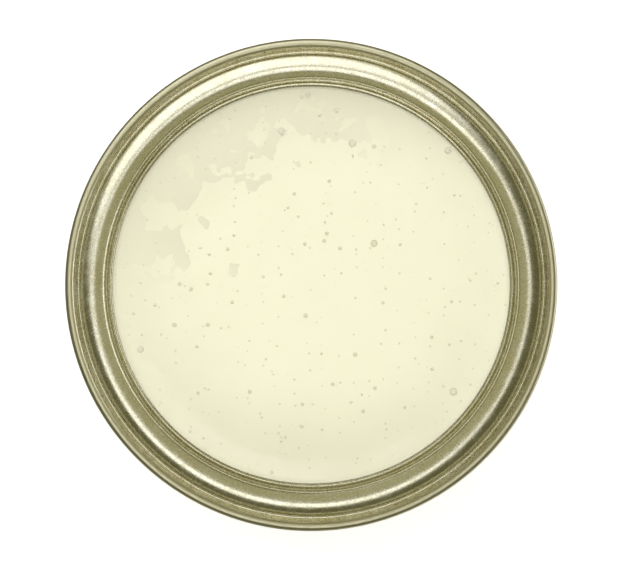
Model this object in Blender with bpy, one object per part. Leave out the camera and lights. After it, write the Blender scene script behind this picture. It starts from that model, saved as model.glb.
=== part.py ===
"""An open lever-lid tin of shoe polish, built the way a can maker builds one.

A welded tinplate body takes a pressed ring at the top and a countersunk base at the bottom. Each end is
joined to the body by a double seam: the end's cover hook lies inside the body's own hook, with a ring of
lining compound in the fold. The polish fills the tin up to the ring's inner curl.

Sizes are in millimetres. The tin stands on z = 0, with its axis on +Z.
"""

import math

import bmesh
import bpy
from mathutils import Vector

MM = 0.001                      # metres in one millimetre
SEGMENTS = 36                   # facets around every turned piece, in step so that close walls never meet

# Overall sizes
HEIGHT = 66.0                   # from the surface it stands on to the crown of the upper seam
BODY_INNER_RADIUS = 54.0        # inside of the cylinder wall

# Plate and seams
BODY_PLATE = 0.25               # thickness of the body's tinplate
END_PLATE = 0.28                # thickness of the ring's and the base's tinplate
LAYER_GAP = 0.18                # space between one layer of a seam and the next
SEAM_HEIGHT = 3.2               # from a seam's crown to its rolled edge
CROWN_RADIUS = 0.78             # centre line of the two bends that make a seam's flat crown
HOOK_CLEARANCE = 0.115          # from the body hook's tip to where the rolled edge begins
COMPOUND_HEIGHT = 0.4           # ring of lining compound between the cover hook's tip and the body's fold
COMPOUND_GAP = 0.12             # space left around the ring of lining compound

# Ring around the mouth, as depths below the upper seam's crown and radii from the axis
CHUCK_TAPER = 0.35              # how far the chuck wall leans in on its way down
GROOVE_DEPTH = 4.2              # bottom of the countersink groove
GROOVE_WIDTH = 1.28             # between the centre lines of the groove's two walls
BEAD_WIDTH = 5.1                # across the broad bead that the lid's rim rests on
BEAD_DEPTH = 1.0                # crest of the bead
BEAD_BEND = 0.45                # centre line of the bends at the bead's two shoulders
BEAD_SLOPE = 35.0               # how steeply the bead's arch falls to its shoulders, in degrees
PLUG_LEAN = 0.05                # how far the plug wall closes in towards its foot
PLUG_DEPTH = 7.3                # foot of the plug wall
TROUGH_RADIUS = 0.45            # centre line of the turn at the foot of the plug wall
CURL_RADIUS = 0.42              # centre line of the rolled inner edge
CURL_RISE = 0.1                 # height of the curl's centre over the trough's centre
CURL_END = 285.0                # where the rolled edge stops, short of its own wall

# Base, as depths into the tin from the surface it stands on
BASE_GROOVE_DEPTH = 4.4         # top of the countersink groove
BASE_GROOVE_WIDTH = 1.4         # between the centre lines of the groove's two walls
PANEL_WALL = 0.32               # straight wall between the groove and the bend to the panel
PANEL_BEND = 0.5                # centre line of the bend from that wall to the flat panel
PANEL_BEAD_RADIUS = 38.0        # radius of the stiffening bead pressed into the panel
PANEL_BEAD_WIDTH = 5.0
PANEL_BEAD_HEIGHT = 0.7

# Polish
LEVEL_BELOW_CURL = 0.56         # surface of the polish, below the crest of the ring's inner curl
CONTENTS_CLEARANCE = 0.3        # space to the tinplate all round

GOLD_LACQUER = (0.46, 0.43, 0.25)
COMPOUND_GREY = (0.30, 0.31, 0.30)
CREAM = (0.93, 0.91, 0.76)


def arc(centre, radius, start, end, steps):
    """Points on an arc, as (radius from axis, height), from one angle in degrees to another."""
    points = []
    for step in range(steps + 1):
        angle = math.radians(start + (end - start) * step / steps)
        points.append((centre[0] + radius * math.cos(angle), centre[1] + radius * math.sin(angle)))
    return points


def plate_outline(path, thickness):
    """The closed outline of a sheet of the given thickness, whose middle follows the path."""
    points = [Vector(point) for point in path]
    left, right = [], []
    for index, point in enumerate(points):
        before = (point - points[index - 1]).normalized() if index else None
        after = (points[index + 1] - point).normalized() if index + 1 < len(points) else None
        before = before or after
        after = after or before
        along = (before + after).normalized()
        across = Vector((-along.y, along.x)) * (thickness / 2 / along.dot(before))
        left.append(point + across)
        right.append(point - across)
    return left + right[::-1]


def material(name, colour, roughness, metallic):
    """A plain material for one piece."""
    made = bpy.data.materials.new(name)
    made.use_nodes = True
    shader = made.node_tree.nodes["Principled BSDF"]
    shader.inputs["Base Color"].default_value = (*colour, 1.0)
    shader.inputs["Roughness"].default_value = roughness
    shader.inputs["Metallic"].default_value = metallic
    return made


def turned(name, outline, finish):
    """Spin a closed outline of (radius, height) points around +Z into one solid."""
    mesh = bpy.data.meshes.new(name)
    form = bmesh.new()
    corners = [form.verts.new((radius * MM, 0.0, height * MM)) for radius, height in outline]
    edges = []
    for index, corner in enumerate(corners):
        following = corners[(index + 1) % len(corners)]
        on_axis = corner.co.x < MM / 1000 and following.co.x < MM / 1000
        if not on_axis:
            edges.append(form.edges.new((corner, following)))
    bmesh.ops.spin(form, geom=corners + edges, cent=(0, 0, 0), axis=(0, 0, 1), angle=math.tau,
                   steps=SEGMENTS, use_merge=True)
    bmesh.ops.remove_doubles(form, verts=form.verts, dist=MM / 1000)
    bmesh.ops.recalc_face_normals(form, faces=form.faces)
    form.to_mesh(mesh)
    form.free()
    mesh.shade_smooth()
    mesh.set_sharp_from_angle(angle=math.radians(35))
    mesh.materials.append(finish)
    piece = bpy.data.objects.new(name, mesh)
    bpy.context.scene.collection.objects.link(piece)
    return piece


class Seam:
    """Radii and depths of a double seam's layers. Depths run from the crown towards the tin's middle."""

    def __init__(self):
        body_middle = BODY_PLATE / 2
        end_middle = END_PLATE / 2
        self.chuck_wall = BODY_INNER_RADIUS - LAYER_GAP - end_middle
        self.body_wall = BODY_INNER_RADIUS + body_middle
        self.cover_hook = self.body_wall + body_middle + LAYER_GAP + end_middle
        self.body_hook = self.cover_hook + end_middle + LAYER_GAP + body_middle
        self.seaming_wall = self.body_hook + body_middle + LAYER_GAP + end_middle
        self.end_crown = end_middle
        self.body_crown = END_PLATE + LAYER_GAP + body_middle
        self.bend_depth = self.end_crown + CROWN_RADIUS
        self.body_bend = self.bend_depth - self.body_crown
        self.roll_radius = (self.seaming_wall - self.cover_hook) / 2
        self.roll_depth = SEAM_HEIGHT - end_middle - self.roll_radius
        self.compound_top = self.body_crown + body_middle + COMPOUND_GAP
        self.compound_bottom = self.compound_top + COMPOUND_HEIGHT

    def end_hook(self):
        """The end plate's middle line from the tip of its cover hook, over the crown, to the chuck wall."""
        path = [(self.cover_hook, -(self.compound_bottom + COMPOUND_GAP))]
        middle = (self.cover_hook + self.seaming_wall) / 2
        path += arc((middle, -self.roll_depth), self.roll_radius, 180, 360, 4)
        path += arc((self.seaming_wall - CROWN_RADIUS, -self.bend_depth), CROWN_RADIUS, 0, 90, 3)
        path += arc((self.chuck_wall + CROWN_RADIUS, -self.bend_depth), CROWN_RADIUS, 90, 180, 3)
        return path

    def body_flange(self):
        """The body plate's middle line from the tip of its hook, over the fold, to the wall."""
        path = [(self.body_hook, HOOK_CLEARANCE - self.roll_depth)]
        path += arc((self.body_hook - self.body_bend, -self.bend_depth), self.body_bend, 0, 90, 3)
        path += arc((self.body_wall + self.body_bend, -self.bend_depth), self.body_bend, 90, 180, 3)
        return path

    def compound(self):
        """The outline of the lining compound, in the fold above the cover hook's tip."""
        top, bottom = -self.compound_top, -self.compound_bottom
        inner = self.body_wall + BODY_PLATE / 2 + COMPOUND_GAP
        outer = self.body_hook - BODY_PLATE / 2 - COMPOUND_GAP
        return [(inner, bottom), (outer, bottom), (outer, top), (inner, top)]


def below_crown(path):
    """Depths below the upper seam's crown, as heights."""
    return [(radius, HEIGHT + depth) for radius, depth in path]


def above_floor(path):
    """Depths into the tin from its base, as heights."""
    return [(radius, -depth) for radius, depth in path]


class Ring:
    """Radii and depths of the ring's pressed section, worked inwards from the seam."""

    def __init__(self, seam):
        middle = END_PLATE / 2
        self.groove_outer = seam.chuck_wall - CHUCK_TAPER
        self.groove_inner = self.groove_outer - GROOVE_WIDTH
        self.groove_centre = -(GROOVE_DEPTH + middle - GROOVE_WIDTH / 2)
        self.bead_middle = self.groove_inner - BEAD_WIDTH / 2
        self.bead_reach = BEAD_WIDTH / 2 - BEAD_BEND
        self.plug_radius = self.groove_inner - BEAD_WIDTH - PLUG_LEAN
        self.trough_centre = self.plug_radius - TROUGH_RADIUS
        self.curl_centre = self.trough_centre - TROUGH_RADIUS - CURL_RADIUS
        self.curl_height = CURL_RISE - PLUG_DEPTH
        self.curl_crest = self.curl_height + CURL_RADIUS + middle
        self.mouth_radius = self.curl_centre - CURL_RADIUS - middle
        self.lowest = -(PLUG_DEPTH + TROUGH_RADIUS + middle)

    def bead(self):
        """The bead's middle line: a bend, a shallow arch and another bend, from the outside inwards."""
        shoulder = 90 - BEAD_SLOPE
        lean = math.radians(shoulder)
        arch = self.bead_reach / math.cos(lean) + BEAD_BEND
        arch_centre = -(BEAD_DEPTH + END_PLATE / 2) - arch
        bend_centre = arch_centre + (arch - BEAD_BEND) * math.sin(lean)
        outer = (self.bead_middle + self.bead_reach, bend_centre)
        inner = (self.bead_middle - self.bead_reach, bend_centre)
        path = arc(outer, BEAD_BEND, 0, shoulder, 3)
        path += arc((self.bead_middle, arch_centre), arch, shoulder, 180 - shoulder, 7)[1:]
        path += arc(inner, BEAD_BEND, 180 - shoulder, 180, 3)[1:]
        return path

    def path(self):
        """The ring plate's middle line, from the chuck wall's foot to the tip of the inner curl."""
        half_groove = GROOVE_WIDTH / 2
        groove = arc((self.groove_outer - half_groove, self.groove_centre), half_groove, 0, -180, 5)
        trough = arc((self.trough_centre, -PLUG_DEPTH), TROUGH_RADIUS, 0, -180, 5)
        curl = arc((self.curl_centre, self.curl_height), CURL_RADIUS, 0, CURL_END, 8)
        return groove + self.bead() + trough + curl


def build_lever_ring(seam, ring):
    """The ring around the mouth, seamed to the body's upper end."""
    outline = plate_outline(below_crown(seam.end_hook() + ring.path()), END_PLATE)
    return turned("lever_ring", outline, material("ring_tinplate", GOLD_LACQUER, 0.25, 1.0))


def build_body_shell(seam):
    """The rolled cylinder, with a hook at both ends."""
    path = below_crown(seam.body_flange()) + above_floor(seam.body_flange())[::-1]
    outline = plate_outline(path, BODY_PLATE)
    return turned("body_shell", outline, material("body_tinplate", GOLD_LACQUER, 0.3, 1.0))


class Base:
    """Radii and depths of the base's pressed section. Depths run up into the tin from its lowest edge."""

    def __init__(self, seam):
        middle = END_PLATE / 2
        self.groove_outer = seam.chuck_wall - CHUCK_TAPER
        self.groove_inner = self.groove_outer - BASE_GROOVE_WIDTH
        self.groove_centre = -(BASE_GROOVE_DEPTH - middle - BASE_GROOVE_WIDTH / 2)
        self.panel = self.groove_centre + PANEL_WALL + PANEL_BEND
        self.panel_edge = self.groove_inner - PANEL_BEND
        self.bead_top = middle + PANEL_BEAD_HEIGHT - self.panel

    def path(self):
        """The base plate's middle line from the chuck wall's foot, round the groove, to the axis."""
        half_groove = BASE_GROOVE_WIDTH / 2
        path = arc((self.groove_outer - half_groove, self.groove_centre), half_groove, 0, -180, 5)
        path += arc((self.panel_edge, self.panel - PANEL_BEND), PANEL_BEND, 0, 90, 3)
        for step in range(5):
            radius = PANEL_BEAD_RADIUS + PANEL_BEAD_WIDTH * (2 - step) / 4
            path.append((radius, self.panel - PANEL_BEAD_HEIGHT * math.sin(math.pi * step / 4)))
        path.append((0.0, self.panel))
        return path


def build_base_end(seam, base):
    """The countersunk base, seamed to the body's lower end."""
    outline = plate_outline(above_floor(seam.end_hook() + base.path()), END_PLATE)
    return turned("base_end", outline, material("base_tinplate", GOLD_LACQUER, 0.3, 1.0))


def build_compounds(seam):
    """The two rings of lining compound, one in each seam."""
    finish = material("lining_compound", COMPOUND_GREY, 0.7, 0.0)
    turned("ring_seam_compound", below_crown(seam.compound()), finish)
    turned("base_seam_compound", above_floor(seam.compound()), finish)


def build_contents(ring, base):
    """The polish: it fills the body, and stands in the ring's mouth up to the curl."""
    wall = BODY_INNER_RADIUS - CONTENTS_CLEARANCE
    neck = ring.mouth_radius - CONTENTS_CLEARANCE
    shoulder = HEIGHT + ring.lowest - CONTENTS_CLEARANCE
    over_groove = BASE_GROOVE_DEPTH + CONTENTS_CLEARANCE
    over_panel = base.bead_top + CONTENTS_CLEARANCE
    foot = base.panel_edge - CONTENTS_CLEARANCE
    level = HEIGHT + ring.curl_crest - LEVEL_BELOW_CURL
    outline = [(0.0, over_panel), (foot, over_panel), (foot, over_groove), (wall, over_groove),
               (wall, shoulder), (neck, shoulder), (neck, level), (0.0, level)]
    return turned("contents", outline, material("cream_polish", CREAM, 0.15, 0.0))


def main():
    """Clear the scene and build the tin from the outside in."""
    for old in list(bpy.data.objects):
        bpy.data.objects.remove(old, do_unlink=True)
    seam = Seam()
    ring = Ring(seam)
    base = Base(seam)
    build_body_shell(seam)
    build_base_end(seam, base)
    build_lever_ring(seam, ring)
    build_compounds(seam)
    build_contents(ring, base)


main()
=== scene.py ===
"""An open lever-lid tin of cream shoe polish, dressed around its working model.

The working model's turned pieces are replaced by finely turned ones of the same section, pressed from
gold-lacquered tinplate. The polish gets its own surface with ripples, a meniscus, air bubbles and a skin
that has begun to dry near one side. Its colour carries painted shade: deeper towards the rim, in the
pinholes and around the wet islands of that skin.
"""

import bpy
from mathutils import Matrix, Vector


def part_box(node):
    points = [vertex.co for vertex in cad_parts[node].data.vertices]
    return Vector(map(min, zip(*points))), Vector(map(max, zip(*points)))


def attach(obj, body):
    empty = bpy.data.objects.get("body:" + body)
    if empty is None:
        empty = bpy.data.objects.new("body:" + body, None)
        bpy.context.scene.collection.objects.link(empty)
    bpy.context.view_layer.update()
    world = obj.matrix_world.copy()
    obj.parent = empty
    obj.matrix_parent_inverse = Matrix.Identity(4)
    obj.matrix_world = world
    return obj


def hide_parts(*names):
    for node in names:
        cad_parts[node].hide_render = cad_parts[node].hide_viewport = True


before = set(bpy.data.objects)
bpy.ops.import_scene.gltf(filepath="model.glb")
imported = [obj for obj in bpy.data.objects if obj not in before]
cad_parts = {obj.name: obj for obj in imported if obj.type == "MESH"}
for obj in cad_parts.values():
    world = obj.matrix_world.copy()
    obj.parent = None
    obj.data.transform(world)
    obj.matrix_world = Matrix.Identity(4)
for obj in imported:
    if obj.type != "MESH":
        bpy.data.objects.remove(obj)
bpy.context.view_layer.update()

import logging
import math
from dataclasses import dataclass
from enum import Enum
from typing import Callable, Sequence

import bmesh
import bpy
import numpy as np
from bpy.types import ID, Material, Mesh, Node, NodeSocket as Socket, NodeTree, Object
from mathutils import Vector, noise

MM = 0.001                              # metres; the sections are given in millimetres
BODY = "root"
FOOT_LIFT = 0.4                         # mm; how far the dressed polish's foot is above the working model's
ON_AXIS = 1e-6                          # mm; anything nearer the axis is a pole
CREASE = 40.0                           # degrees; a sharper bend between two facets is an edge
SQUARE_CM_IN_SQUARE_METRE = 10_000.0
FIRST, SECOND, MIXED = 6, 7, 2          # a colour mix's sockets: the two colours in, and the one out
LOG = logging.getLogger("polish_tin")

Point = tuple[float, float]
Outline = list[Point]
Shift = Callable[[float, float, float], Vector]
Colour = tuple[float, float, float, float]


class Turn(Enum):
    """How finely a piece is turned, as facets around the axis."""

    PLAIN = 240
    BRIGHT = 300


class Side(Enum):
    """Which end of the body a seam closes."""

    TOP = 1
    BOTTOM = -1


# ---------------------------------------------------------------- outlines and meshes


def arc(centre: Point, radius: float, start: float, end: float, steps: int) -> Outline:
    """Points along an arc.

    Args:
        centre: the arc's centre, as radius from the axis and height.
        radius: the arc's own radius.
        start: first angle in degrees.
        end: last angle in degrees.
        steps: number of chords.

    Returns:
        The points, both ends included.
    """
    angles = np.radians(np.linspace(start, end, steps + 1))
    return [(centre[0] + radius * math.cos(a), centre[1] + radius * math.sin(a)) for a in angles]


def outward(azimuth: float) -> Vector:
    """The level direction away from the axis, at an azimuth in radians."""
    return Vector((math.cos(azimuth), math.sin(azimuth), 0.0))


def sheet_outline(path: Sequence[Point], thickness: float) -> Outline:
    """The closed outline of a sheet whose middle follows a path.

    Args:
        path: the sheet's middle line.
        thickness: the sheet's thickness.

    Returns:
        The outline's points, up one face and back down the other.
    """
    points = [Vector(point) for point in path]
    left: Outline = []
    right: Outline = []
    for index, point in enumerate(points):
        before = (point - points[index - 1]).normalized() if index else None
        after = (points[index + 1] - point).normalized() if index + 1 < len(points) else None
        before = before or after
        after = after or before
        along = (before + after).normalized()
        across = Vector((-along.y, along.x)) * (thickness / 2 / along.dot(before))
        left.append(tuple(point + across))
        right.append(tuple(point - across))
    return left + right[::-1]


def linked(name: str, data: ID) -> Object:
    """Make an object and link it to the scene.

    Args:
        name: its name.
        data: the mesh, light or camera that it shows.

    Returns:
        The object.
    """
    thing = bpy.data.objects.new(name, data)
    bpy.context.scene.collection.objects.link(thing)
    return thing


def panel(name: str, corners: list[tuple[float, float, float]], faces: list[tuple[int, ...]],
          finish: Material) -> Object:
    """A piece of the studio made of flat faces.

    Args:
        name: its name.
        corners: its corners, in metres.
        faces: the corners of each face, by number.
        finish: its material.

    Returns:
        The piece, linked to the scene.
    """
    mesh = bpy.data.meshes.new(name)
    mesh.from_pydata(corners, [], faces)
    mesh.materials.append(finish)
    return linked(name, mesh)


def turned(name: str, outline: Outline, turn: Turn, finish: Material,
           shift: Shift | None = None) -> Object:
    """Turn a closed outline about the tin's axis.

    Args:
        name: the piece's name.
        outline: points of radius and height, in millimetres.
        turn: how many facets the piece gets.
        finish: its material.
        shift: optional small move of a point, from its radius, height and azimuth, in millimetres.

    Returns:
        The piece, linked to the scene.
    """
    form = bmesh.new()
    poles: dict[int, bmesh.types.BMVert] = {}
    rings: list[list[bmesh.types.BMVert]] = []
    on_axis = [radius < ON_AXIS for radius, _ in outline]
    for step in range(turn.value):
        azimuth = math.tau * step / turn.value
        ring = []
        for index, (radius, height) in enumerate(outline):
            if on_axis[index] and index in poles:
                ring.append(poles[index])
                continue
            place = Vector((radius * math.cos(azimuth), radius * math.sin(azimuth), height))
            if shift:
                place += shift(radius, height, azimuth)
            corner = form.verts.new(place * MM)
            if on_axis[index]:
                poles[index] = corner
            ring.append(corner)
        rings.append(ring)
    for step, ring in enumerate(rings):
        following = rings[(step + 1) % len(rings)]
        for index in range(len(outline)):
            onward = (index + 1) % len(outline)
            if on_axis[index] and on_axis[onward]:
                continue
            corners = [ring[index], following[index], following[onward], ring[onward]]
            form.faces.new(list(dict.fromkeys(corners)))
    bmesh.ops.recalc_face_normals(form, faces=form.faces)
    mesh = bpy.data.meshes.new(name)
    form.to_mesh(mesh)
    form.free()
    mesh.shade_smooth()
    mesh.set_sharp_from_angle(angle=math.radians(CREASE))
    mesh.materials.append(finish)
    return linked(name, mesh)


# ---------------------------------------------------------------- material helpers


def linear(code: str) -> Colour:
    """An sRGB hex colour as linear red, green, blue and alpha."""
    shares = [int(code[place:place + 2], 16) / 255 for place in (0, 2, 4)]
    return (*[c / 12.92 if c <= 0.04045 else ((c + 0.055) / 1.055) ** 2.4 for c in shares], 1.0)


def feed(tree: NodeTree, node: Node, values: dict) -> None:
    """Set a node's sockets.

    Args:
        tree: the node tree.
        node: the node.
        values: socket name or index to a value, or to the output socket that feeds it.
    """
    for key, value in values.items():
        if isinstance(value, Socket):
            tree.links.new(value, node.inputs[key])
        else:
            node.inputs[key].default_value = value


def add(tree: NodeTree, kind: str, settings: dict | None = None,
        values: dict | None = None) -> Node:
    """Add one node, with its settings, socket values and incoming links.

    Args:
        tree: the node tree.
        kind: the node's type name.
        settings: attributes of the node.
        values: as for feed.

    Returns:
        The node.
    """
    node = tree.nodes.new(kind)
    for key, value in (settings or {}).items():
        setattr(node, key, value)
    feed(tree, node, values or {})
    return node


def new_material(name: str) -> tuple[Material, NodeTree, Node]:
    """A material with a bare Principled shader.

    Args:
        name: the finish's name.

    Returns:
        The material, its node tree and its shader.
    """
    made = bpy.data.materials.new(name)
    made.use_nodes = True
    tree = made.node_tree
    return made, tree, tree.nodes["Principled BSDF"]


def per_metre(spacing_mm: float) -> float:
    """Texture scale that repeats a pattern once in the given number of millimetres."""
    return 1.0 / (spacing_mm * MM)


# ---------------------------------------------------------------- finishes


@dataclass(frozen=True)
class GoldLacqueredTinplate:
    """Tin-plated steel under a clear gold lacquer: bright, warm and slightly mottled.

    The rolled steel's fine grain softens reflections, the lacquer pools a little unevenly, and pressing
    leaves faint lines that run round the tin.
    """

    name: str
    light_lacquer: str = "F0EDDC"
    deep_lacquer: str = "E9E5CE"
    roughness: float = 0.20
    mottle_mm: float = 5.0
    grain_mm: float = 0.45              # coarser than the real 0.1 mm, so that it shows
    grain_shade: str = "B2AD84"
    grain_share: float = 0.42           # how much of that shade the darkest specks take
    grain_height_mm: float = 0.0016
    line_mm: float = 0.5
    line_height: float = 0.12           # a pressed line's height, as a share of the grain's
    line_roughness: float = 0.06
    rub_mm: float = 2.2
    rub_roughness: float = 0.12
    worn_from_mm: float = 53.4          # the seaming rolls rub everything outside this radius
    worn_to_mm: float = 54.3
    worn_lacquer: str = "CFCBAE"
    worn_roughness: float = 0.12
    weld_azimuth: float | None = None   # degrees; where a bare stripe runs beside the side weld
    stripe_mm: float = 7.0
    stripe_edge_mm: float = 0.25        # how sharply the lacquer ends
    stripe_drift_mm: float = 0.3        # how far that edge wanders, and over what length
    stripe_drift_length_mm: float = 1.5
    heat_from_mm: float = 0.3           # from the weld's middle, where its heat tint begins to fade
    heat_to_mm: float = 1.4
    heat_tint: str = "8F8A84"
    bare_plate: str = "D6D8D4"
    bare_roughness: float = 0.12

    def make(self) -> Material:
        """Build the material.

        Returns:
            The material.
        """
        made, tree, shader = new_material(self.name)
        place = add(tree, "ShaderNodeTexCoord").outputs["Object"]
        mottle = add(tree, "ShaderNodeTexNoise", values={
            "Vector": place, "Scale": per_metre(self.mottle_mm), "Detail": 3.0}).outputs["Fac"]
        spread = add(tree, "ShaderNodeMapRange", values={
            "Value": mottle, "From Min": 0.35, "From Max": 0.65}).outputs["Result"]
        colour = add(tree, "ShaderNodeMix", {"data_type": "RGBA"}, {
            "Factor": spread, FIRST: linear(self.light_lacquer),
            SECOND: linear(self.deep_lacquer)}).outputs[MIXED]
        grain = add(tree, "ShaderNodeTexNoise", values={
            "Vector": place, "Scale": per_metre(self.grain_mm), "Detail": 2.0}).outputs["Fac"]
        speckle = add(tree, "ShaderNodeMapRange", values={
            "Value": grain, "From Min": 0.35, "From Max": 0.70,
            "To Max": self.grain_share}).outputs["Result"]
        colour = add(tree, "ShaderNodeMix", {"data_type": "RGBA"}, {
            "Factor": speckle, FIRST: colour, SECOND: linear(self.grain_shade)}).outputs[MIXED]
        lines, worn = self.pressed_lines(tree, place)
        colour = add(tree, "ShaderNodeMix", {"data_type": "RGBA"}, {
            "Factor": worn, FIRST: colour, SECOND: linear(self.worn_lacquer)}).outputs[MIXED]
        rubs = add(tree, "ShaderNodeTexNoise", values={
            "Vector": place, "Scale": per_metre(self.rub_mm), "Detail": 6.0,
            "Roughness": 0.7}).outputs["Fac"]
        rough = add(tree, "ShaderNodeMapRange", values={
            "Value": rubs, "From Min": 0.45, "From Max": 0.75, "To Min": self.roughness,
            "To Max": self.roughness + self.rub_roughness}).outputs["Result"]
        for mask, extra in ((lines, self.line_roughness), (worn, self.worn_roughness)):
            rough = add(tree, "ShaderNodeMath", {"operation": "MULTIPLY_ADD"}, {
                0: mask, 1: extra, 2: rough}).outputs[0]
        relief = add(tree, "ShaderNodeMath", {"operation": "MULTIPLY_ADD"}, {
            0: lines, 1: self.line_height, 2: grain}).outputs[0]
        bump = add(tree, "ShaderNodeBump", values={
            "Distance": self.grain_height_mm * MM, "Height": relief}).outputs["Normal"]
        if self.weld_azimuth is not None:
            colour, rough = self.bare_stripe(tree, place, colour, rough)
        feed(tree, shader, {"Base Color": colour, "Roughness": rough, "Normal": bump, "Metallic": 1.0})
        return made

    def pressed_lines(self, tree: NodeTree, place: Socket) -> tuple[Socket, Socket]:
        """Faint lines round the axis, as the pressing tool leaves them, and the wear on the seam.

        The lines' noise changes with radius and height, but hardly along the way round.

        Args:
            tree: the material's tree.
            place: object coordinates.

        Returns:
            The lines and the wear, each a socket from 0 to 1.
        """
        parts = add(tree, "ShaderNodeSeparateXYZ", values={"Vector": place}).outputs
        flat = add(tree, "ShaderNodeCombineXYZ", values={"X": parts["X"], "Y": parts["Y"]}).outputs[0]
        radius = add(tree, "ShaderNodeVectorMath", {"operation": "LENGTH"}, {0: flat}).outputs["Value"]
        around = add(tree, "ShaderNodeVectorMath", {"operation": "NORMALIZE"}, {0: flat}).outputs["Vector"]
        short = add(tree, "ShaderNodeVectorMath", {"operation": "SCALE"}, {
            0: around, "Scale": 4.0 * self.line_mm * MM}).outputs["Vector"]
        lift = add(tree, "ShaderNodeMath", {"operation": "ADD"}, {0: radius, 1: parts["Z"]}).outputs[0]
        rise = add(tree, "ShaderNodeCombineXYZ", values={"Z": lift}).outputs[0]
        along = add(tree, "ShaderNodeVectorMath", {"operation": "ADD"}, {0: short, 1: rise}).outputs["Vector"]
        lines = add(tree, "ShaderNodeTexNoise", values={
            "Vector": along, "Scale": per_metre(self.line_mm), "Detail": 3.0}).outputs["Fac"]
        worn = add(tree, "ShaderNodeMapRange", values={
            "Value": radius, "From Min": self.worn_from_mm * MM,
            "From Max": self.worn_to_mm * MM}).outputs["Result"]
        return lines, worn

    def bare_stripe(self, tree: NodeTree, place: Socket, colour: Socket,
                    rough: Socket) -> tuple[Socket, Socket]:
        """Bare tinplate beside the side weld, tinted by its heat along the middle.

        Args:
            tree: the material's tree.
            place: object coordinates.
            colour: the lacquered plate's colour.
            rough: the lacquered plate's roughness.

        Returns:
            The colour and the roughness with the stripe in them.
        """
        turned_place = add(tree, "ShaderNodeMapping", values={
            "Vector": place, "Rotation": (0, 0, -math.radians(self.weld_azimuth))}).outputs["Vector"]
        parts = add(tree, "ShaderNodeSeparateXYZ", values={"Vector": turned_place}).outputs
        aside = add(tree, "ShaderNodeMath", {"operation": "ABSOLUTE"}, {0: parts["Y"]}).outputs[0]
        facing = add(tree, "ShaderNodeMath", {"operation": "GREATER_THAN"}, {
            0: parts["X"], 1: 0.0}).outputs[0]
        half = self.stripe_mm / 2 * MM
        ragged = add(tree, "ShaderNodeTexNoise", values={
            "Vector": place, "Scale": per_metre(self.stripe_drift_length_mm), "Detail": 2.0}).outputs["Fac"]
        edge = add(tree, "ShaderNodeMath", {"operation": "MULTIPLY_ADD"}, {
            0: ragged, 1: self.stripe_drift_mm * MM, 2: aside}).outputs[0]
        bare = add(tree, "ShaderNodeMapRange", values={
            "Value": edge, "From Min": half, "From Max": half + self.stripe_edge_mm * MM, "To Min": 1.0,
            "To Max": 0.0}).outputs["Result"]
        mask = add(tree, "ShaderNodeMath", {"operation": "MULTIPLY"}, {0: bare, 1: facing}).outputs[0]
        burnt = add(tree, "ShaderNodeMapRange", values={
            "Value": edge, "From Min": self.heat_from_mm * MM, "From Max": self.heat_to_mm * MM,
            "To Min": 1.0, "To Max": 0.0}).outputs["Result"]
        plate = add(tree, "ShaderNodeMix", {"data_type": "RGBA"}, {
            "Factor": burnt, FIRST: linear(self.bare_plate), SECOND: linear(self.heat_tint)}).outputs[MIXED]
        mixed = add(tree, "ShaderNodeMix", {"data_type": "RGBA"}, {
            "Factor": mask, FIRST: colour, SECOND: plate}).outputs[MIXED]
        rough = add(tree, "ShaderNodeMath", {"operation": "MULTIPLY_ADD"}, {
            0: mask, 1: self.bare_roughness, 2: rough}).outputs[0]
        return mixed, rough


@dataclass(frozen=True)
class LiningCompound:
    """Water-based rubber lining compound, flowed in and dried: matt, grey and slightly lumpy."""

    name: str = "dried_lining_compound"
    colour: str = "8C8F8B"
    shade: str = "777B78"
    lump_mm: float = 0.6
    lump_height_mm: float = 0.05

    def make(self) -> Material:
        """Build the material.

        Returns:
            The material.
        """
        made, tree, shader = new_material(self.name)
        place = add(tree, "ShaderNodeTexCoord").outputs["Object"]
        lumps = add(tree, "ShaderNodeTexNoise", values={
            "Vector": place, "Scale": per_metre(self.lump_mm), "Detail": 3.0}).outputs["Fac"]
        colour = add(tree, "ShaderNodeMix", {"data_type": "RGBA"}, {
            "Factor": lumps, FIRST: linear(self.colour), SECOND: linear(self.shade)}).outputs[MIXED]
        bump = add(tree, "ShaderNodeBump", values={
            "Distance": self.lump_height_mm * MM, "Height": lumps}).outputs["Normal"]
        feed(tree, shader, {"Base Color": colour, "Roughness": 0.75, "Normal": bump})
        return made


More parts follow.
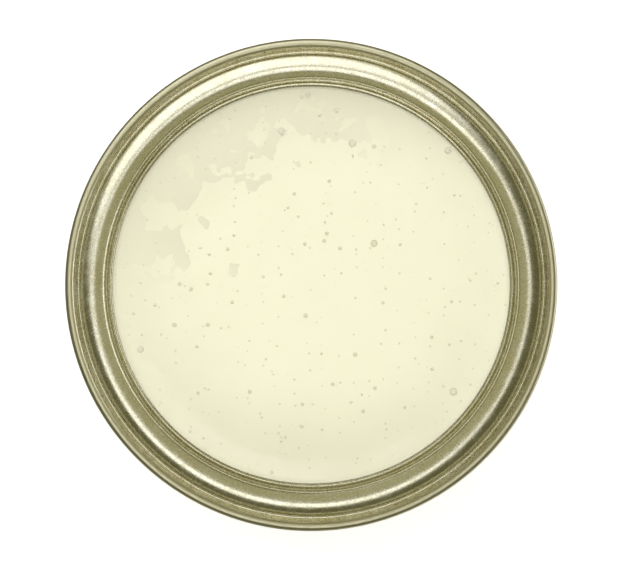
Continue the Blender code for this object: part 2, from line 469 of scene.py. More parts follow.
@dataclass(frozen=True)
class CreamPolish:
    """Soft wax-and-oil cream, poured warm: a wet gloss over a faintly translucent, even pale cream.

    Fine air pinholes show as soft darker dots, their pits darkened with painted shade. Towards the rim the
    colour deepens with painted shade. Near one side the skin has begun to dry, and is a little duller there,
    around islands that are still wet; painted shade darkens the skin there, so that the islands read lighter,
    as the window's reflection on them.
    """

    name: str = "poured_cream_polish"
    colour: str = "F3F1DB"
    shade: str = "F0EED5"
    # Painted shade: the cream deepens to this colour towards the rim, most at the bottom, as the ring's walls
    # and the lights' falloff would shade it.
    edge: str = "DEDBC4"
    # Painted shade in each pinhole's small pit.
    pinhole_shade: str = "D8D5B6"
    # Painted shade: a deeper colour around the wet islands, which leaves them lighter, as the window's
    # reflection on them.
    skin: str = "E0DDC6"
    roughness: float = 0.10
    skin_roughness: float = 0.24
    skin_azimuth: float = 122.0         # degrees; the side that begins to dry first, towards the window; painted shade darkens it around the wet islands
    skin_reach_mm: float = 37.5         # how far out the wet middle ends
    shore_mm: float = 1.8               # how sharply it ends
    island_mm: float = 6.5
    island_drift_mm: float = 80.0       # how strongly the islands break up that shore
    cloud_mm: float = 14.0
    cloud_drift_mm: float = 8.0         # how far the clouds push the deepening outwards or inwards
    skin_mm: float = 3.5
    skin_height_mm: float = 0.03
    pinhole_spacing_mm: float = 3.4
    pinhole_mm: float = 0.44
    unshaded_centre: tuple[float, float] = (4.0, 2.0)    # mm; the painted shade is lightest here, so the cream is palest
    rim_shade_reach: tuple[float, float] = (28.0, 66.0)   # mm; where the painted shade starts and stops deepening
    rim_shade_stretch: float = 1.2                        # the pale part is longer than wide
    translucency: float = 0.25
    scatter: tuple[float, float, float] = (1.0, 0.95, 0.7)
    scatter_mm: float = 1.2

    def make(self) -> Material:
        """Build the material.

        Returns:
            The material.
        """
        made, tree, shader = new_material(self.name)
        place = add(tree, "ShaderNodeTexCoord").outputs["Object"]
        clouds = add(tree, "ShaderNodeTexNoise", values={
            "Vector": place, "Scale": per_metre(self.cloud_mm), "Detail": 2.0}).outputs["Fac"]
        cream = add(tree, "ShaderNodeMix", {"data_type": "RGBA"}, {
            "Factor": clouds, FIRST: linear(self.colour), SECOND: linear(self.shade)}).outputs[MIXED]
        # Painted shade: the cream deepens towards the rim, away from its palest middle.
        centre = add(tree, "ShaderNodeCombineXYZ", values={
            "X": self.unshaded_centre[0] * MM, "Y": self.unshaded_centre[1] * self.rim_shade_stretch * MM}).outputs[0]
        flat = add(tree, "ShaderNodeVectorMath", {"operation": "MULTIPLY"}, {
            0: place, 1: (1.0, self.rim_shade_stretch, 0.0)}).outputs["Vector"]
        away = add(tree, "ShaderNodeVectorMath", {"operation": "DISTANCE"}, {
            0: flat, 1: centre}).outputs["Value"]
        wandering = add(tree, "ShaderNodeMath", {"operation": "MULTIPLY_ADD"}, {
            0: clouds, 1: self.cloud_drift_mm * MM, 2: away}).outputs[0]
        painted_rim_shade = add(tree, "ShaderNodeMapRange", {"interpolation_type": "SMOOTHSTEP"}, {
            "Value": wandering, "From Min": self.rim_shade_reach[0] * MM, "From Max": self.rim_shade_reach[1] * MM,
            "To Min": 0.0, "To Max": 1.0}).outputs["Result"]
        cream = add(tree, "ShaderNodeMix", {"data_type": "RGBA"}, {
            "Factor": painted_rim_shade, FIRST: cream, SECOND: linear(self.edge)}).outputs[MIXED]
        dull_and_painted_shade = self.drying_and_painted_shade(tree, place, flat, away)
        # Painted shade around the wet islands, so that they read lighter, as the window's reflection on them;
        # the roughness below is the skin's real dullness.
        cream = add(tree, "ShaderNodeMix", {"data_type": "RGBA"}, {
            "Factor": dull_and_painted_shade, FIRST: cream, SECOND: linear(self.skin)}).outputs[MIXED]
        gloss = add(tree, "ShaderNodeMapRange", values={
            "Value": dull_and_painted_shade, "To Min": self.roughness, "To Max": self.skin_roughness}).outputs["Result"]
        holes = self.pinholes(tree, place)
        # Painted shade in the pinholes' pits.
        colour = add(tree, "ShaderNodeMix", {"data_type": "RGBA"}, {
            "Factor": holes, FIRST: cream, SECOND: linear(self.pinhole_shade)}).outputs[MIXED]
        skin = add(tree, "ShaderNodeTexNoise", values={
            "Vector": place, "Scale": per_metre(self.skin_mm), "Detail": 2.0}).outputs["Fac"]
        relief = add(tree, "ShaderNodeMath", {"operation": "SUBTRACT"}, {0: skin, 1: holes}).outputs[0]
        bump = add(tree, "ShaderNodeBump", values={
            "Distance": self.skin_height_mm * MM, "Height": relief}).outputs["Normal"]
        feed(tree, shader, {
            "Base Color": colour, "Roughness": gloss, "Normal": bump, "IOR": 1.5,
            "Subsurface Weight": self.translucency, "Subsurface Radius": self.scatter,
            "Subsurface Scale": self.scatter_mm * MM})
        return made

    def drying_and_painted_shade(self, tree: NodeTree, place: Socket, flat: Socket, away: Socket) -> Socket:
        """Duller cream near one side, where the skin has begun to dry around islands that are still wet, with
        painted shade there that leaves the islands lighter.

        Args:
            tree: the material's tree.
            place: object coordinates.
            flat: the same without their height.
            away: distance from the palest part.

        Returns:
            A socket from 0, wet, to 1, dull and darkened with painted shade.
        """
        islands = add(tree, "ShaderNodeTexNoise", values={
            "Vector": place, "Scale": per_metre(self.island_mm), "Detail": 2.5, "Roughness": 0.5,
            "Distortion": 0.15}).outputs["Fac"]
        field = add(tree, "ShaderNodeMath", {"operation": "MULTIPLY_ADD"}, {
            0: islands, 1: self.island_drift_mm * MM, 2: away}).outputs[0]
        reach = self.skin_reach_mm + self.island_drift_mm / 2
        shore = add(tree, "ShaderNodeMapRange", {"interpolation_type": "SMOOTHSTEP"}, {
            "Value": field, "From Min": reach * MM,
            "From Max": (reach + self.shore_mm) * MM}).outputs["Result"]
        heading = add(tree, "ShaderNodeVectorMath", {"operation": "NORMALIZE"}, {0: flat}).outputs["Vector"]
        facing = add(tree, "ShaderNodeVectorMath", {"operation": "DOT_PRODUCT"}, {
            0: heading, 1: outward(math.radians(self.skin_azimuth))}).outputs["Value"]
        side = add(tree, "ShaderNodeMapRange", {"interpolation_type": "SMOOTHSTEP"}, {
            "Value": facing, "From Min": 0.45, "From Max": 0.85}).outputs["Result"]
        return add(tree, "ShaderNodeMath", {"operation": "MULTIPLY"}, {0: shore, 1: side}).outputs[0]

    def pinholes(self, tree: NodeTree, place: Socket) -> Socket:
        """Scattered soft dots, where air has come up just under the skin and left small pits, darkened with
        painted shade.

        Args:
            tree: the material's tree.
            place: object coordinates.

        Returns:
            A socket from 0, clear cream, to 1, the middle of a pinhole.
        """
        parts = add(tree, "ShaderNodeSeparateXYZ", values={"Vector": place}).outputs
        flat = add(tree, "ShaderNodeCombineXYZ", values={"X": parts["X"], "Y": parts["Y"]}).outputs[0]
        cells = add(tree, "ShaderNodeTexVoronoi", {"voronoi_dimensions": "2D"}, {
            "Vector": flat, "Scale": per_metre(self.pinhole_spacing_mm)})
        chance = add(tree, "ShaderNodeSeparateColor", values={0: cells.outputs["Color"]}).outputs
        # Almost half of the cells get a reach near nothing, and so no pinhole.
        reach = add(tree, "ShaderNodeMapRange", values={
            "Value": chance[0], "From Min": 0.45, "From Max": 1.0, "To Min": 1e-4,
            "To Max": self.pinhole_mm / self.pinhole_spacing_mm}).outputs["Result"]
        dot = add(tree, "ShaderNodeMath", {"operation": "DIVIDE"}, {
            0: cells.outputs["Distance"], 1: reach}).outputs[0]
        return add(tree, "ShaderNodeMapRange", {"interpolation_type": "SMOOTHSTEP"}, {
            "Value": dot, "From Min": 0.35, "From Max": 1.0, "To Min": 1.0, "To Max": 0.0}).outputs["Result"]


@dataclass(frozen=True)
class LightTable:
    """Opal acrylic lit softly from below: it stays white under and around the tin."""

    name: str = "backlit_opal_acrylic"
    colour: str = "FBFBFA"
    glow: float = 0.52
    tooth_mm: float = 0.8
    tooth_height_mm: float = 0.01

    def make(self) -> Material:
        """Build the material.

        Returns:
            The material.
        """
        made, tree, shader = new_material(self.name)
        place = add(tree, "ShaderNodeTexCoord").outputs["Object"]
        tooth = add(tree, "ShaderNodeTexNoise", values={
            "Vector": place, "Scale": per_metre(self.tooth_mm)}).outputs["Fac"]
        bump = add(tree, "ShaderNodeBump", values={
            "Distance": self.tooth_height_mm * MM, "Height": tooth}).outputs["Normal"]
        feed(tree, shader, {"Base Color": linear(self.colour), "Roughness": 0.95, "Normal": bump,
                            "Emission Color": linear("FFFFFF"), "Emission Strength": self.glow})
        return made


@dataclass(frozen=True)
class GreyCard:
    """Matt grey board, evenly lit: bright metal under it mirrors one calm tone."""

    name: str = "matt_grey_board"
    tone: str = "A29E7A"

    def make(self) -> Material:
        """Build the material.

        Returns:
            The material.
        """
        made, tree, shader = new_material(self.name)
        feed(tree, shader, {"Base Color": linear("000000"), "Roughness": 1.0,
                            "Emission Color": linear(self.tone), "Emission Strength": 1.0})
        return made


# ---------------------------------------------------------------- sub-assemblies


@dataclass(frozen=True)
class DoubleSeam:
    """A double seam's layers: radii from the axis and depths from the crown, in millimetres."""

    body_inner_radius: float = 54.0
    body_plate: float = 0.25
    end_plate: float = 0.28
    layer_gap: float = 0.18
    height: float = 3.2
    crown_radius: float = 0.78
    hook_clearance: float = 0.115
    hook_start: float = 1.35

    @property
    def chuck_wall(self) -> float:
        """Middle of the end plate where it lines the body."""
        return self.body_inner_radius - self.layer_gap - self.end_plate / 2

    @property
    def body_wall(self) -> float:
        """Middle of the body's wall."""
        return self.body_inner_radius + self.body_plate / 2

    @property
    def cover_hook(self) -> float:
        """Middle of the end plate's hook, inside the body's."""
        return self.body_inner_radius + self.body_plate + self.layer_gap + self.end_plate / 2

    @property
    def body_hook(self) -> float:
        """Middle of the body's hook."""
        return self.cover_hook + self.end_plate / 2 + self.layer_gap + self.body_plate / 2

    @property
    def seaming_wall(self) -> float:
        """Middle of the end plate on the outside of the seam."""
        return self.body_hook + self.body_plate / 2 + self.layer_gap + self.end_plate / 2

    @property
    def bend_depth(self) -> float:
        """Depth of the crown bends' centres."""
        return self.end_plate / 2 + self.crown_radius

    @property
    def roll(self) -> float:
        """Radius of the rolled edge."""
        return (self.seaming_wall - self.cover_hook) / 2

    @property
    def roll_depth(self) -> float:
        """Depth of the rolled edge's centre."""
        return self.height - self.end_plate / 2 - self.roll

    def end_hook(self) -> Outline:
        """The end plate's middle line, from its hook's tip over the crown to the chuck wall.

        Returns:
            Points of radius and height above the crown.
        """
        crown = self.crown_radius
        path = [(self.cover_hook, -self.hook_start)]
        path += arc((self.cover_hook + self.roll, -self.roll_depth), self.roll, 180, 360, 10)
        path += arc((self.seaming_wall - crown, -self.bend_depth), crown, 0, 90, 9)
        path += arc((self.chuck_wall + crown, -self.bend_depth), crown, 90, 180, 9)
        return path

    def body_flange(self) -> Outline:
        """The body plate's middle line, from its hook's tip over the fold to the wall.

        Returns:
            Points of radius and height above the crown.
        """
        bend = self.bend_depth - self.end_plate - self.layer_gap - self.body_plate / 2
        path = [(self.body_hook, self.hook_clearance - self.roll_depth)]
        path += arc((self.body_hook - bend, -self.bend_depth), bend, 0, 90, 5)
        path += arc((self.body_wall + bend, -self.bend_depth), bend, 90, 180, 5)
        return path


def placed(path: Outline, side: Side, height: float) -> Outline:
    """Put a path that is measured from a crown at one end of the tin.

    Args:
        path: radii and heights above the crown.
        side: which end.
        height: the tin's height.

    Returns:
        Radii and heights above the floor.
    """
    if side is Side.TOP:
        return [(radius, height + depth) for radius, depth in path]
    return [(radius, -depth) for radius, depth in path]


@dataclass(frozen=True)
class LeverRing:
    """The pressed ring around the mouth: chuck wall, groove, broad bead, plug wall and curled edge."""

    seam: DoubleSeam
    height: float
    chuck_taper: float = 0.35
    groove_depth: float = 4.2
    groove_width: float = 1.28
    bead_width: float = 5.1
    bead_depth: float = 1.0
    bead_bend: float = 0.45
    bead_slope: float = 35.0            # degrees, where the arch meets its shoulders
    plug_lean: float = 0.05
    plug_depth: float = 7.3
    trough_radius: float = 0.45
    curl_radius: float = 0.42
    curl_rise: float = 0.1
    curl_end: float = 285.0
    wave: float = 0.012                 # how far the crest of the bead wanders, from pressing
    slow_waves: float = 2.6             # how often it does so on the way round, more or less
    quick_waves: float = 9.0

    @property
    def groove_inner(self) -> float:
        """Middle of the plate on the groove's inner side."""
        return self.seam.chuck_wall - self.chuck_taper - self.groove_width

    @property
    def curl_centre(self) -> Point:
        """Centre of the rolled inner edge, as radius and height above the crown."""
        plug = self.groove_inner - self.bead_width - self.plug_lean
        return plug - 2 * self.trough_radius - self.curl_radius, self.curl_rise - self.plug_depth

    @property
    def mouth_radius(self) -> float:
        """Clear radius inside the rolled edge."""
        return self.curl_centre[0] - self.curl_radius - self.seam.end_plate / 2

    def bead(self) -> Outline:
        """The bead's middle line: a bend, a shallow arch and another bend.

        Returns:
            Points of radius and height above the crown.
        """
        shoulder = 90 - self.bead_slope
        lean = math.radians(shoulder)
        centre = self.groove_inner - self.bead_width / 2
        reach = self.bead_width / 2 - self.bead_bend
        arch = reach / math.cos(lean) + self.bead_bend
        foot = -(self.bead_depth + self.seam.end_plate / 2) - arch
        bend = foot + (arch - self.bead_bend) * math.sin(lean)
        path = arc((centre + reach, bend), self.bead_bend, 0, shoulder, 7)
        path += arc((centre, foot), arch, shoulder, 180 - shoulder, 26)[1:]
        path += arc((centre - reach, bend), self.bead_bend, 180 - shoulder, 180, 7)[1:]
        return path

    def path(self) -> Outline:
        """The plate's middle line, from the chuck wall's foot to the curl's tip.

        Returns:
            Points of radius and height above the crown.
        """
        middle = self.seam.end_plate / 2
        half_groove = self.groove_width / 2
        groove_centre = -(self.groove_depth + middle - half_groove)
        trough = self.groove_inner - self.bead_width - self.plug_lean - self.trough_radius
        path = arc((self.groove_inner + half_groove, groove_centre), half_groove, 0, -180, 14)
        path += self.bead()
        path += arc((trough, -self.plug_depth), self.trough_radius, 0, -180, 12)
        path += arc(self.curl_centre, self.curl_radius, 0, self.curl_end, 18)
        return path

    def wander(self, radius: float, height: float, azimuth: float) -> Vector:
        """Slight unevenness of the pressed plate, always downwards so that the tin keeps its size.

        Args:
            radius: distance from the axis.
            height: height above the floor.
            azimuth: angle round the tin.

        Returns:
            The move of that point, in millimetres.
        """
        around = outward(azimuth)
        slow = noise.noise(around * self.slow_waves + Vector((0.0, 0.0, radius * 0.25)))
        quick = noise.noise(around * self.quick_waves + Vector((0.0, 0.0, radius * 0.4)))
        return Vector((0.0, 0.0, -self.wave * (0.5 + 0.5 * slow + 0.25 * quick)))

    def build(self) -> Object:
        """Make and dress the ring.

        Returns:
            The finished piece.
        """
        outline = sheet_outline(placed(self.seam.end_hook() + self.path(), Side.TOP, self.height),
                                self.seam.end_plate)
        finish = GoldLacqueredTinplate("gold_lacquered_ring_plate").make()
        piece = turned("pressed_lever_ring", outline, Turn.BRIGHT, finish, self.wander)
        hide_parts("lever_ring")
        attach(piece, BODY)
        return piece


@dataclass(frozen=True)
class BodyShell:
    """The rolled cylinder with its welded side seam."""

    seam: DoubleSeam
    height: float
    weld_azimuth: float = 150.0         # degrees
    weld_width: float = 0.9
    weld_rise: float = 0.09
    weld_ripple: float = 0.15           # share of its height by which the weld's beats rise and fall
    weld_beat: float = 9.0              # radians in a millimetre
    seam_clearance: float = 0.5         # between a seam's depth and the plain wall
    weld_clearance: float = 0.6         # between a seam's depth and the weld's ridge

    def weld(self, radius: float, height: float, azimuth: float) -> Vector:
        """The flattened overlap of the side weld, as a low ridge up the wall.

        Args:
            radius: distance from the axis.
            height: height above the floor.
            azimuth: angle round the tin.

        Returns:
            The move of that point, in millimetres.
        """
        middle = self.seam.body_wall
        clear = self.seam.height + self.weld_clearance
        if not clear < height < self.height - clear:
            return Vector((0.0, 0.0, 0.0))
        away = (azimuth - math.radians(self.weld_azimuth) + math.pi) % math.tau - math.pi
        share = abs(away) * middle / (self.weld_width / 2)
        rise = self.weld_rise * max(0.0, 1.0 - share ** 4)
        ripple = self.weld_ripple * rise * math.sin(height * self.weld_beat)
        return outward(azimuth) * math.copysign(rise + ripple, radius - middle)

    def build(self) -> Object:
        """Make and dress the body.

        Returns:
            The finished piece.
        """
        top = placed(self.seam.body_flange(), Side.TOP, self.height)
        bottom = placed(self.seam.body_flange(), Side.BOTTOM, self.height)[::-1]
        clear = self.seam.height + self.seam_clearance
        wall = [(self.seam.body_wall, z) for z in np.linspace(self.height - clear, clear, 40)]
        outline = sheet_outline(top + wall + bottom, self.seam.body_plate)
        finish = GoldLacqueredTinplate("gold_lacquered_body_plate", weld_azimuth=self.weld_azimuth).make()
        piece = turned("rolled_body", outline, Turn.BRIGHT, finish, self.weld)
        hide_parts("body_shell")
        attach(piece, BODY)
        return piece


@dataclass(frozen=True)
class BaseEnd:
    """The countersunk base, with one stiffening bead pressed into its panel."""

    seam: DoubleSeam
    height: float
    chuck_taper: float = 0.35
    groove_depth: float = 4.4
    groove_width: float = 1.4
    panel_wall: float = 0.32
    panel_bend: float = 0.5
    bead_radius: float = 38.0
    bead_width: float = 5.0
    bead_height: float = 0.7
    middle_radius: float = 20.0         # breaks up the flat panel inside the bead

    def path(self) -> Outline:
        """The plate's middle line, from the chuck wall's foot to the axis.

        Returns:
            Points of radius and height above the crown.
        """
        half_groove = self.groove_width / 2
        outer = self.seam.chuck_wall - self.chuck_taper
        centre = -(self.groove_depth - self.seam.end_plate / 2 - half_groove)
        panel = centre + self.panel_wall + self.panel_bend
        edge = outer - self.groove_width - self.panel_bend
        path = arc((outer - half_groove, centre), half_groove, 0, -180, 12)
        path += arc((edge, panel - self.panel_bend), self.panel_bend, 0, 90, 7)
        for share in np.linspace(0.0, 1.0, 17):
            radius = self.bead_radius + self.bead_width * (0.5 - share)
            path.append((radius, panel - self.bead_height * math.sin(math.pi * share) ** 2))
        return path + [(self.middle_radius, panel), (0.0, panel)]

    def build(self) -> Object:
        """Make and dress the base.

        Returns:
            The finished piece.
        """
        outline = sheet_outline(placed(self.seam.end_hook() + self.path(), Side.BOTTOM, self.height),
                                self.seam.end_plate)
        finish = GoldLacqueredTinplate("gold_lacquered_base_plate").make()
        piece = turned("countersunk_base", outline, Turn.PLAIN, finish)
        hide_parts("base_end")
        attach(piece, BODY)
        return piece


@dataclass(frozen=True)
class LiningRings:
    """The two rings of lining compound, which stay as they are and get their finish."""

    nodes: tuple[str, ...] = ("ring_seam_compound", "base_seam_compound")

    def build(self) -> None:
        """Dress both rings."""
        finish = LiningCompound().make()
        for node in self.nodes:
            for slot in bpy.data.objects[node].material_slots:
                slot.material = finish


@dataclass(frozen=True)
class Polish:
    """The poured cream: its body, its rippled surface and the meniscus."""

    seam: DoubleSeam
    ring: LeverRing
    level: float
    foot: float
    clearance: float = 0.3
    neck_clearance: float = 0.01
    meniscus: float = 0.35
    meniscus_reach: float = 1.1
    swell: float = 0.05
    swell_length: float = 17.0
    ripple: float = 0.2
    ripple_length: float = 3.8
    ripple_radius: float = 36.5
    ripple_breadth: float = 5.0
    ripple_azimuth: float = 112.0       # degrees; where the last of the pour came to rest
    ripple_spread: float = 42.0         # degrees
    calm_reach: float = 3.0             # swell and ripple die out this far from the rim
    row_spacing: float = 0.4            # about the distance between rows of facets inside the meniscus
    rows: int = 108

    def surface(self, radius: float, height: float, azimuth: float) -> Vector:
        """How the poured surface departs from flat.

        Args:
            radius: distance from the axis.
            height: height above the floor.
            azimuth: angle round the tin.

        Returns:
            The move of that point, in millimetres.
        """
        if height < self.level - ON_AXIS:
            return Vector((0.0, 0.0, 0.0))
        place = Vector((radius * math.cos(azimuth), radius * math.sin(azimuth), 0.0))
        rim = max(0.0, 1.0 - (self.ring.mouth_radius - radius) / self.meniscus_reach)
        swell = self.swell * noise.noise(place / self.swell_length)
        turn = (math.degrees(azimuth) - self.ripple_azimuth + 180.0) % 360.0 - 180.0
        away = math.hypot((radius - self.ripple_radius) / self.ripple_breadth, turn / self.ripple_spread)
        ripple = self.ripple * math.exp(-away ** 4) * noise.noise(place / self.ripple_length)
        calm = min(1.0, (self.ring.mouth_radius - radius) / self.calm_reach)
        return Vector((0.0, 0.0, self.meniscus * rim ** 3 + (swell + ripple) * calm))

    def build(self) -> Object:
        """Make and dress the cream.

        Returns:
            The finished piece.
        """
        wall = self.seam.body_inner_radius - self.clearance
        neck = self.ring.mouth_radius - self.neck_clearance
        under = self.ring.seam.end_plate / 2 + self.ring.trough_radius + self.ring.plug_depth
        shoulder = self.ring.height - under - self.clearance
        rows = [neck - self.meniscus_reach * share for share in (0.0, 0.08, 0.2, 0.35, 0.55, 0.8, 1.0)]
        rows += list(np.linspace(rows[-1] - self.row_spacing, self.row_spacing, self.rows))
        outline = [(0.0, self.foot), (wall, self.foot), (wall, shoulder), (neck, shoulder)]
        outline += [(radius, self.level) for radius in rows] + [(0.0, self.level)]
        piece = turned("poured_polish", outline, Turn.PLAIN, CreamPolish().make(), self.surface)
        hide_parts("contents")
        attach(piece, BODY)
        return piece


@dataclass(frozen=True)
class Bubbles:
    """Air bubbles that rest in the skin of the cream, scattered by a Geometry Nodes tree."""

    name: str
    polish: Polish
    density: float                      # bubbles in a square centimetre
    smallest_mm: float
    largest_mm: float
    flatness: float
    seed: int
    finish: CreamPolish
    rarity: float = 2.2                 # how much rarer the large ones are than the small ones
    rim_clearance: float = 1.2          # millimetres between the outermost bubble's middle and the rim

    def tree(self) -> NodeTree:
        """The scattering tree, with its sizes as named inputs.

        Returns:
            The node tree.
        """
        tree = bpy.data.node_groups.new(self.name + "_scatter", "GeometryNodeTree")
        face = tree.interface
        face.new_socket("Geometry", in_out="INPUT", socket_type="NodeSocketGeometry")
        for label in ("Mouth Radius", "Level", "Density", "Smallest", "Largest", "Flatness"):
            face.new_socket(label, in_out="INPUT", socket_type="NodeSocketFloat")
        face.new_socket("Seed", in_out="INPUT", socket_type="NodeSocketInt")
        face.new_socket("Finish", in_out="INPUT", socket_type="NodeSocketMaterial")
        face.new_socket("Geometry", in_out="OUTPUT", socket_type="NodeSocketGeometry")
        given = add(tree, "NodeGroupInput").outputs
        disc = add(tree, "GeometryNodeMeshCircle", {"fill_type": "NGON"}, {
            "Vertices": 96, "Radius": given["Mouth Radius"]}).outputs["Mesh"]
        lift = add(tree, "ShaderNodeCombineXYZ", values={"Z": given["Level"]}).outputs[0]
        raised = add(tree, "GeometryNodeTransform", values={
            "Geometry": disc, "Translation": lift}).outputs["Geometry"]
        points = add(tree, "GeometryNodeDistributePointsOnFaces", {"distribute_method": "RANDOM"}, {
            "Mesh": raised, "Density": given["Density"], "Seed": given["Seed"]}).outputs["Points"]
        share = add(tree, "FunctionNodeRandomValue", {"data_type": "FLOAT"}, {
            "Seed": given["Seed"]}).outputs[1]
        skewed = add(tree, "ShaderNodeMath", {"operation": "POWER"}, {
            0: share, 1: self.rarity}).outputs[0]
        radius = add(tree, "ShaderNodeMapRange", values={
            "Value": skewed, "To Min": given["Smallest"], "To Max": given["Largest"]}).outputs["Result"]
        tall = add(tree, "ShaderNodeMath", {"operation": "MULTIPLY"}, {
            0: radius, 1: given["Flatness"]}).outputs[0]
        size = add(tree, "ShaderNodeCombineXYZ", values={"X": radius, "Y": radius, "Z": tall}).outputs[0]
        dome = add(tree, "GeometryNodeMeshUVSphere", values={
            "Segments": 14, "Rings": 8, "Radius": 1.0}).outputs["Mesh"]
        smooth = add(tree, "GeometryNodeSetShadeSmooth", values={"Geometry": dome}).outputs["Geometry"]
        placed_domes = add(tree, "GeometryNodeInstanceOnPoints", values={
            "Points": points, "Instance": smooth, "Scale": size}).outputs["Instances"]
        solid = add(tree, "GeometryNodeRealizeInstances", values={
            "Geometry": placed_domes}).outputs["Geometry"]
        dressed = add(tree, "GeometryNodeSetMaterial", values={
            "Geometry": solid, "Material": given["Finish"]}).outputs["Geometry"]
        add(tree, "NodeGroupOutput", values={"Geometry": dressed})
        return tree

    def build(self) -> Object:
        """Scatter the bubbles and keep the result as a plain mesh.

        Returns:
            The finished piece.
        """
        tree = self.tree()
        seedbed = linked(self.name + "_seedbed", bpy.data.meshes.new(self.name + "_seedbed"))
        scatter = seedbed.modifiers.new("scatter", "NODES")
        scatter.node_group = tree
        sizes = {
            "Mouth Radius": (self.polish.ring.mouth_radius - self.rim_clearance) * MM,
            "Level": self.polish.level * MM,
            "Density": self.density * SQUARE_CM_IN_SQUARE_METRE,
            "Smallest": self.smallest_mm / 2 * MM,
            "Largest": self.largest_mm / 2 * MM,
            "Flatness": self.flatness,
            "Seed": self.seed,
            "Finish": self.finish.make(),
        }
        for item in tree.interface.items_tree:
            if item.in_out == "INPUT" and item.name in sizes:
                scatter[item.identifier] = sizes[item.name]
        evaluated = seedbed.evaluated_get(bpy.context.evaluated_depsgraph_get())
        mesh = bpy.data.meshes.new_from_object(evaluated)
        mesh.name = self.name
        seedbed.modifiers.remove(scatter)
        bpy.data.objects.remove(seedbed)
        self.settle(mesh)
        piece = linked(self.name, mesh)
        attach(piece, BODY)
        return piece

    def settle(self, mesh: Mesh) -> None:
        """Let each bubble follow the cream's swell, so that none floats or drowns.

        Args:
            mesh: all the bubbles; their corners are moved.
        """
        for corner in mesh.vertices:
            radius = corner.co.xy.length / MM
            azimuth = math.atan2(corner.co.y, corner.co.x)
            corner.co += self.polish.surface(radius, self.polish.level, azimuth) * MM


# ---------------------------------------------------------------- studio


@dataclass(frozen=True)
class SoftLight:
    """One soft light, aimed at the tin's mouth."""

    name: str
    azimuth: float                      # degrees
    tilt: float                         # degrees away from straight overhead
    distance: float                     # metres
    width: float                        # metres
    depth: float                        # metres
    radiance: float
    reflected: bool = True              # whether the tinplate and the wet cream mirror it

    def build(self, target: Vector) -> Object:
        """Hang the light.

        Args:
            target: the point it faces.

        Returns:
            The light.
        """
        lamp = bpy.data.lights.new(self.name, "AREA")
        lamp.shape = "ELLIPSE"
        lamp.size, lamp.size_y = self.width, self.depth
        area = self.width * self.depth * math.pi / 4
        lamp.energy = self.radiance * math.pi * area
        light = linked(self.name, lamp)
        around, away = math.radians(self.azimuth), math.radians(self.tilt)
        back = Vector((math.sin(away) * math.cos(around), math.sin(away) * math.sin(around), math.cos(away)))
        light.location = target + back * self.distance
        light.rotation_mode = "QUATERNION"
        light.rotation_quaternion = back.to_track_quat("Z", "Y")
        light.visible_glossy = self.reflected
        return light


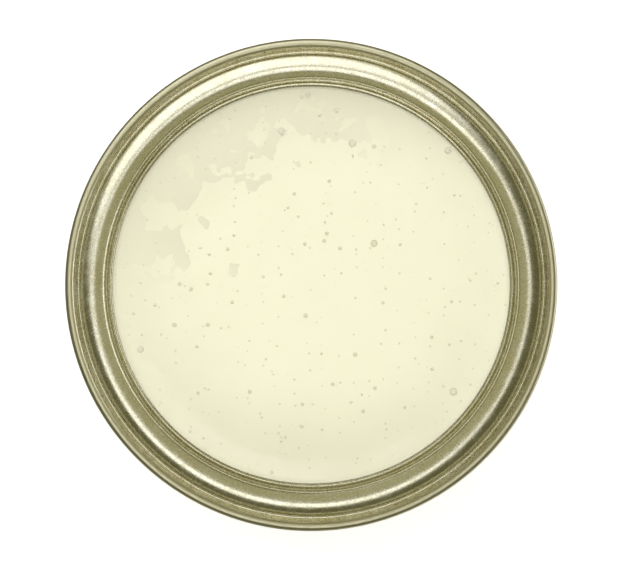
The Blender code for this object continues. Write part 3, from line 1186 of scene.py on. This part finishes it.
@dataclass(frozen=True)
class Studio:
    """The lit table and its backdrop, soft lights, the grey card and the camera overhead, in metres."""

    tin_height: float
    camera_height: float = 1.5          # above the tin
    view_width: float = 0.14531         # what the camera sees across the tin's crown
    aside: float = 0.00243              # the tin stands a little left of and above the middle of the view
    below: float = 0.00137
    sensor_mm: float = 36.0
    table_reach: float = 3.0
    backdrop_reach: float = 2.95
    backdrop_top: float = 3.2
    backdrop_panels: int = 64
    room: str = "625F42"
    table: str = "F4F2EA"
    bright_side: float = -35.0          # degrees; where the table is lit most
    card_radius: float = 0.0415
    card_edge: float = 0.022            # how far past the middle the card reaches
    card_height: float = 0.035          # above the tin
    card_steps: int = 40

    def build(self) -> None:
        """Set up everything around the tin."""
        self.floor()
        self.backdrop()
        self.card()
        self.world()
        self.camera()
        target = Vector((0.0, 0.0, self.tin_height))
        for light in self.lights():
            light.build(target)
        bpy.context.scene.view_settings.view_transform = "Standard"

    def lights(self) -> list[SoftLight]:
        """The soft lights, largest first."""
        return [
            SoftLight("ceiling_bounce", 90.0, 3.0, 1.2, 1.5, 1.35, 2.1, reflected=False),
            SoftLight("window_side", 108.0, 36.0, 0.9, 1.25, 0.95, 1.45),
            SoftLight("fill_side", 248.0, 14.0, 1.3, 0.75, 0.52, 1.6),
            SoftLight("overhead", 330.0, 4.5, 1.9, 0.55, 0.45, 0.62),
            SoftLight("edge_strip", 5.0, 82.0, 1.2, 1.5, 0.42, 2.2),
        ]

    def floor(self) -> None:
        """Lay the wide lit table top under the tin."""
        reach = self.table_reach
        corners = [(-reach, -reach, 0.0), (reach, -reach, 0.0), (reach, reach, 0.0), (-reach, reach, 0.0)]
        top = panel("light_table_top", corners, [(0, 1, 2, 3)], LightTable().make())
        top.visible_glossy = False

    def backdrop(self) -> None:
        """Stand a pale round backdrop at the table's edge; the tin doesn't mirror it."""
        reach, count = self.backdrop_reach, self.backdrop_panels
        turns = [math.tau * step / count for step in range(count)]
        corners = [(reach * math.cos(turn), reach * math.sin(turn), z)
                   for z in (0.0, self.backdrop_top) for turn in turns]
        corners.append((0.0, 0.0, self.backdrop_top))
        pairs = [(step, (step + 1) % count) for step in range(count)]
        faces = [(onward, step, count + step, count + onward) for step, onward in pairs]
        faces += [(count + onward, count + step, 2 * count) for step, onward in pairs]
        paper = panel("pale_backdrop", corners, faces, LightTable("pale_backdrop_paper", glow=0.25).make())
        paper.visible_glossy = paper.visible_diffuse = False
        paper.visible_transmission = paper.visible_shadow = False

    def card(self) -> None:
        """Hold a grey card over the near side of the mouth, seen only in reflections.

        It keeps the window out of the slopes that face it across the mouth.
        """
        start = math.asin(self.card_edge / self.card_radius)
        height = self.tin_height + self.card_height
        corners = [(self.card_radius * math.cos(turn), self.card_radius * math.sin(turn), height)
                   for turn in np.linspace(math.pi - start, math.tau + start, self.card_steps + 1)]
        card = panel("grey_card", corners, [tuple(reversed(range(len(corners))))], GreyCard().make())
        card.visible_camera = card.visible_diffuse = False
        card.visible_transmission = card.visible_shadow = False

    def world(self) -> None:
        """A dim room, paler below where the lit table would be mirrored in the tin's side."""
        world = bpy.data.worlds.new("dim_room")
        bpy.context.scene.world = world
        world.use_nodes = True
        tree = world.node_tree
        heading = add(tree, "ShaderNodeTexCoord").outputs["Generated"]
        height = add(tree, "ShaderNodeSeparateXYZ", values={"Vector": heading}).outputs["Z"]
        below = add(tree, "ShaderNodeMapRange", {"interpolation_type": "SMOOTHSTEP"}, {
            "Value": height, "From Min": -0.45, "From Max": 0.14, "To Min": 1.0,
            "To Max": 0.0}).outputs["Result"]
        around = add(tree, "ShaderNodeVectorMath", {"operation": "MULTIPLY"}, {
            0: heading, 1: (1.0, 1.0, 0.15)}).outputs["Vector"]
        patches = add(tree, "ShaderNodeTexNoise", values={
            "Vector": around, "Scale": 1.7, "Detail": 1.0}).outputs["Fac"]
        facing = add(tree, "ShaderNodeVectorMath", {"operation": "DOT_PRODUCT"}, {
            0: heading, 1: outward(math.radians(self.bright_side))}).outputs["Value"]
        uneven = add(tree, "ShaderNodeMath", {"operation": "MULTIPLY_ADD"}, {
            0: facing, 1: 0.22, 2: patches}).outputs[0]
        lit = add(tree, "ShaderNodeMapRange", {"interpolation_type": "SMOOTHSTEP"}, {
            "Value": uneven, "From Min": 0.36, "From Max": 0.66, "To Min": 0.22}).outputs["Result"]
        share = add(tree, "ShaderNodeMath", {"operation": "MULTIPLY"}, {0: below, 1: lit}).outputs[0]
        colour = add(tree, "ShaderNodeMix", {"data_type": "RGBA"}, {
            "Factor": share, FIRST: linear(self.room), SECOND: linear(self.table)}).outputs[MIXED]
        feed(tree, tree.nodes["Background"], {"Color": colour})

    def camera(self) -> None:
        """Look straight down into the tin."""
        lens = bpy.data.cameras.new("overhead_camera")
        lens.sensor_width = self.sensor_mm
        lens.lens = self.sensor_mm * self.camera_height / self.view_width
        lens.clip_start, lens.clip_end = 0.05, 20.0
        camera = linked("overhead_camera", lens)
        camera.location = (self.aside, -self.below, self.tin_height + self.camera_height)
        bpy.context.scene.camera = camera


def main() -> None:
    """Build the tin from the outside in, then the studio around it."""
    logging.basicConfig(level=logging.INFO, format="%(message)s")
    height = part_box("lever_ring")[1][2] / MM
    polish_low, polish_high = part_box("contents")
    seam = DoubleSeam()
    ring = LeverRing(seam, height)
    polish = Polish(seam, ring, level=polish_high[2] / MM, foot=polish_low[2] / MM + FOOT_LIFT)
    pieces = [BodyShell(seam, height).build(), BaseEnd(seam, height).build(), ring.build(), polish.build()]
    LiningRings().build()
    skin = CreamPolish("bubble_skin", "E6E2C0", "DEDAB6", roughness=0.16)
    pieces.append(Bubbles("fine_bubbles", polish, 3.4, 0.2, 0.85, 0.4, 11, skin).build())
    pieces.append(Bubbles("broad_bubbles", polish, 0.4, 0.8, 1.8, 0.14, 5, skin).build())
    Studio(height * MM).build()
    for piece in pieces:
        LOG.info("%s: %d faces", piece.name, len(piece.data.polygons))


if __name__ == "__main__":
    main()
